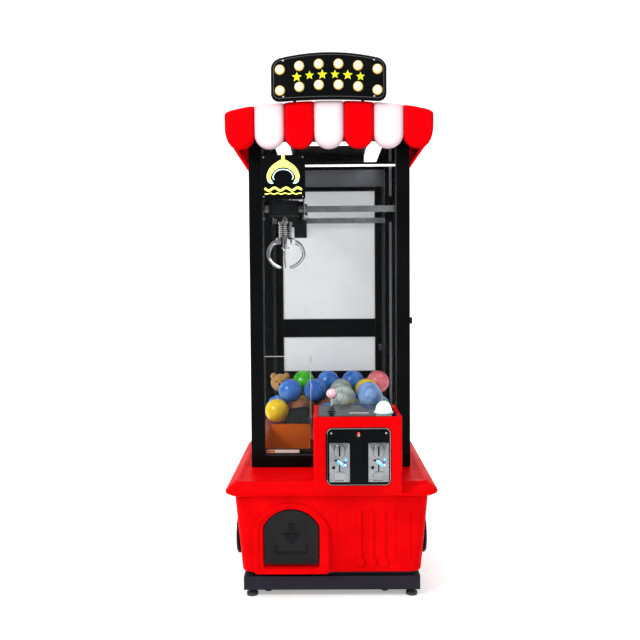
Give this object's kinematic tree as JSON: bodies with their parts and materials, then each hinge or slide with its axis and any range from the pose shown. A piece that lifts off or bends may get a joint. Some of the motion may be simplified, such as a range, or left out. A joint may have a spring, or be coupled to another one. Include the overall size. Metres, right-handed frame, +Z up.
{
  "type": "claw crane machine",
  "caption": "Free-standing claw crane machine: glazed prize cabinet with gantry and three-finger claw, coin console, prize chute and flap, striped awning, lit sign.",
  "frame": {"origin": "on the floor under the middle of the machine's box", "axes": "+X to the player's right, -Y towards the player, +Z up"},
  "size_m": [0.7, 0.846, 1.8],
  "materials": {
    "frame_steel_dark": "satin",
    "rubber_black": "matte",
    "steel_bracket": "satin",
    "red_shell": "gloss",
    "black_plastic": "satin",
    "door_plastic": "satin",
    "chute_orange": "satin",
    "clear_acrylic": "gloss",
    "bed_board": "matte",
    "console_black_glass": "mirror gloss",
    "bright_steel": "brushed",
    "chrome": "polished",
    "crystal_knob": "clear gloss",
    "button_ring": "gloss",
    "button_white": "translucent gloss",
    "button_blue": "gloss",
    "cabinet_black": "gloss",
    "window_glass": "gloss",
    "panel_white": "satin",
    "led_white": "diffuser",
    "rail_steel": "ground",
    "cord_white": "braided",
    "awning_red": "gloss",
    "awning_white": "gloss",
    "bulb_cream": "diffuser",
    "neon_yellow": "diffuser",
    "capsule_blue": "gloss"
  },
  "bodies": {
    "machine": {"plinth": "frame_steel_dark", "levelling_feet": "rubber_black", "rear_caster_brackets": "steel_bracket", "base_shell": "red_shell", "base_rim": "red_shell", "side_speakers": "black_plastic", "prize_surround": "red_shell", "prize_pocket": "black_plastic", "chute_walls": "chute_orange", "chute_guard": "clear_acrylic", "prize_bed": "bed_board", "console_shell": "red_shell", "console_top": "console_black_glass", "joystick_mount": "bright_steel", "button_bezel": "button_ring", "cabinet_frame": "cabinet_black", "fixed_glass": "window_glass", "roof": "cabinet_black", "ceiling_lights": "led_white", "gantry_rails": "rail_steel", "awning_red": "awning_red", "awning_white": "awning_white", "sign_board": "cabinet_black", "sign_bulbs": "bulb_cream", "neon_board": "cabinet_black", "neon_tubes": "neon_yellow", "power_inlet": "black_plastic", "prizes": "capsule_blue"},
    "front_caster_left": {"front_caster_left": "steel_bracket"},
    "front_caster_right": {"front_caster_right": "steel_bracket"},
    "wheel_fl": {"caster_wheel_fl": "rubber_black"},
    "wheel_fr": {"caster_wheel_fr": "rubber_black"},
    "wheel_rl": {"caster_wheel_rl": "rubber_black"},
    "wheel_rr": {"caster_wheel_rr": "rubber_black"},
    "prize_door": {"prize_door": "door_plastic"},
    "joystick_gimbal": {"joystick_gimbal": "bright_steel"},
    "joystick_stick": {"joystick_stick": "crystal_knob"},
    "button": {"button_dome": "button_white"},
    "coin_door": {"coin_door": "cabinet_black", "coin_plates": "bright_steel"},
    "coin_lock": {"coin_lock": "chrome"},
    "return_button_left": {"return_button_left": "button_blue"},
    "return_button_right": {"return_button_right": "button_blue"},
    "return_flap_left": {"return_flap_left": "bright_steel"},
    "return_flap_right": {"return_flap_right": "bright_steel"},
    "side_door": {"side_door": "cabinet_black", "side_door_glass": "window_glass"},
    "side_door_latch": {"side_door_latch": "black_plastic"},
    "rear_door": {"rear_door": "cabinet_black", "rear_door_windows": "panel_white"},
    "rear_door_lock": {"rear_door_lock": "chrome"},
    "bridge": {"bridge": "steel_bracket"},
    "carriage": {"carriage": "steel_bracket", "hoist_cord": "cord_white"},
    "winch_drum": {"winch_drum": "black_plastic"},
    "claw": {"claw_head": "chrome"},
    "claw_plunger": {"claw_plunger": "bright_steel"},
    "finger_1": {"claw_finger_1": "chrome"},
    "finger_2": {"claw_finger_2": "chrome"},
    "finger_3": {"claw_finger_3": "chrome"}
  },
  "joints": [
    {"name": "caster_swivel_left", "type": "hinge", "parent": "machine", "child": "front_caster_left", "pos_m": [-0.196, -0.284, 0.048], "axis": [0, 0, 1], "continuous": true},
    {"name": "caster_swivel_right", "type": "hinge", "parent": "machine", "child": "front_caster_right", "pos_m": [0.196, -0.284, 0.048], "axis": [0, 0, 1], "continuous": true},
    {"name": "wheel_roll_fl", "type": "hinge", "parent": "front_caster_left", "child": "wheel_fl", "pos_m": [-0.214, -0.284, 0.0225], "axis": [0, 1, 0], "continuous": true},
    {"name": "wheel_roll_fr", "type": "hinge", "parent": "front_caster_right", "child": "wheel_fr", "pos_m": [0.178, -0.284, 0.0225], "axis": [0, 1, 0], "continuous": true},
    {"name": "wheel_roll_rl", "type": "hinge", "parent": "machine", "child": "wheel_rl", "pos_m": [-0.196, 0.288, 0.0225], "axis": [1, 0, 0], "continuous": true},
    {"name": "wheel_roll_rr", "type": "hinge", "parent": "machine", "child": "wheel_rr", "pos_m": [0.196, 0.288, 0.0225], "axis": [1, 0, 0], "continuous": true},
    {"name": "prize_door_swing", "type": "hinge", "parent": "machine", "child": "prize_door", "pos_m": [-0.132, -0.341, 0.276], "axis": [1, 0, 0], "range_deg": [0, 72]},
    {"name": "joystick_pitch", "type": "hinge", "parent": "machine", "child": "joystick_gimbal", "pos_m": [0.003, -0.307, 0.586], "axis": [1, 0, 0], "range_deg": [-14, 14], "stiffness_Nm_per_rad": 0.6},
    {"name": "joystick_roll", "type": "hinge", "parent": "joystick_gimbal", "child": "joystick_stick", "pos_m": [0.003, -0.307, 0.586], "axis": [0, 1, 0], "range_deg": [-14, 14], "stiffness_Nm_per_rad": 0.6},
    {"name": "button_press", "type": "slide", "parent": "machine", "child": "button", "axis": [0, 0, -1], "range_m": [0, 0.0035], "stiffness_N_per_m": 600, "springref_m": -0.003},
    {"name": "coin_door_swing", "type": "hinge", "parent": "machine", "child": "coin_door", "pos_m": [-0.015, -0.413, 0.486], "axis": [0, 0, -1], "range_deg": [0, 100]},
    {"name": "coin_lock_turn", "type": "hinge", "parent": "coin_door", "child": "coin_lock", "pos_m": [0.087, -0.41, 0.555], "axis": [0, 1, 0], "range_deg": [0, 180]},
    {"name": "return_button_left_press", "type": "slide", "parent": "coin_door", "child": "return_button_left", "axis": [0, 1, 0], "range_m": [0, 0.003], "stiffness_N_per_m": 300, "springref_m": -0.002},
    {"name": "return_flap_left_swing", "type": "hinge", "parent": "coin_door", "child": "return_flap_left", "pos_m": [0.026, -0.408, 0.433], "axis": [1, 0, 0], "range_deg": [0, 60]},
    {"name": "return_button_right_press", "type": "slide", "parent": "coin_door", "child": "return_button_right", "axis": [0, 1, 0], "range_m": [0, 0.003], "stiffness_N_per_m": 300, "springref_m": -0.002},
    {"name": "return_flap_right_swing", "type": "hinge", "parent": "coin_door", "child": "return_flap_right", "pos_m": [0.15, -0.408, 0.433], "axis": [1, 0, 0], "range_deg": [0, 60]},
    {"name": "side_door_swing", "type": "hinge", "parent": "machine", "child": "side_door", "pos_m": [0.285, 0.33, 0.9], "axis": [0, 0, 1], "range_deg": [0, 100]},
    {"name": "side_latch_turn", "type": "hinge", "parent": "side_door", "child": "side_door_latch", "pos_m": [0.28, -0.093, 0.905], "axis": [1, 0, 0], "range_deg": [0, 90]},
    {"name": "rear_door_swing", "type": "hinge", "parent": "machine", "child": "rear_door", "pos_m": [-0.233, 0.3915, 0.9], "axis": [0, 0, 1], "range_deg": [0, 105]},
    {"name": "rear_lock_turn", "type": "hinge", "parent": "rear_door", "child": "rear_door_lock", "pos_m": [0.214, 0.385, 0.778], "axis": [0, 1, 0], "range_deg": [-90, 0]},
    {"name": "bridge_travel", "type": "slide", "parent": "machine", "child": "bridge", "axis": [1, 0, 0], "range_m": [0, 0.322]},
    {"name": "carriage_travel", "type": "slide", "parent": "bridge", "child": "carriage", "axis": [0, 1, 0], "range_m": [0, 0.27]},
    {"name": "hoist", "type": "slide", "parent": "carriage", "child": "claw", "axis": [0, 0, -1], "range_m": [0, 0.38], "deforming": ["hoist_cord"]},
    {"name": "winch_turn", "type": "hinge", "parent": "carriage", "child": "winch_drum", "pos_m": [-0.161, -0.042, 1.361], "axis": [1, 0, 0], "range_deg": [0, 1089.6]},
    {"name": "finger_1_open", "type": "hinge", "parent": "claw", "child": "finger_1", "pos_m": [-0.161, -0.052, 1.192], "axis": [-1, 0, 0], "range_deg": [0, 30]},
    {"name": "finger_2_open", "type": "hinge", "parent": "claw", "child": "finger_2", "pos_m": [-0.13502, -0.007, 1.192], "axis": [0.5, -0.866, 0], "range_deg": [0, 30]},
    {"name": "finger_3_open", "type": "hinge", "parent": "claw", "child": "finger_3", "pos_m": [-0.18698, -0.007, 1.192], "axis": [0.5, 0.866, 0], "range_deg": [0, 30]},
    {"name": "plunger_drop", "type": "slide", "parent": "claw", "child": "claw_plunger", "axis": [0, 0, -1], "range_m": [0, 0.0121]}
  ],
  "couplings": [
    {"joint": "winch_turn", "follows": "hoist", "rad_per_m": 50},
    {"joint": "finger_2_open", "follows": "finger_1_open", "ratio": 1},
    {"joint": "finger_3_open", "follows": "finger_1_open", "ratio": 1},
    {"joint": "plunger_drop", "follows": "finger_1_open", "m_per_rad": 0.023}
  ]
}
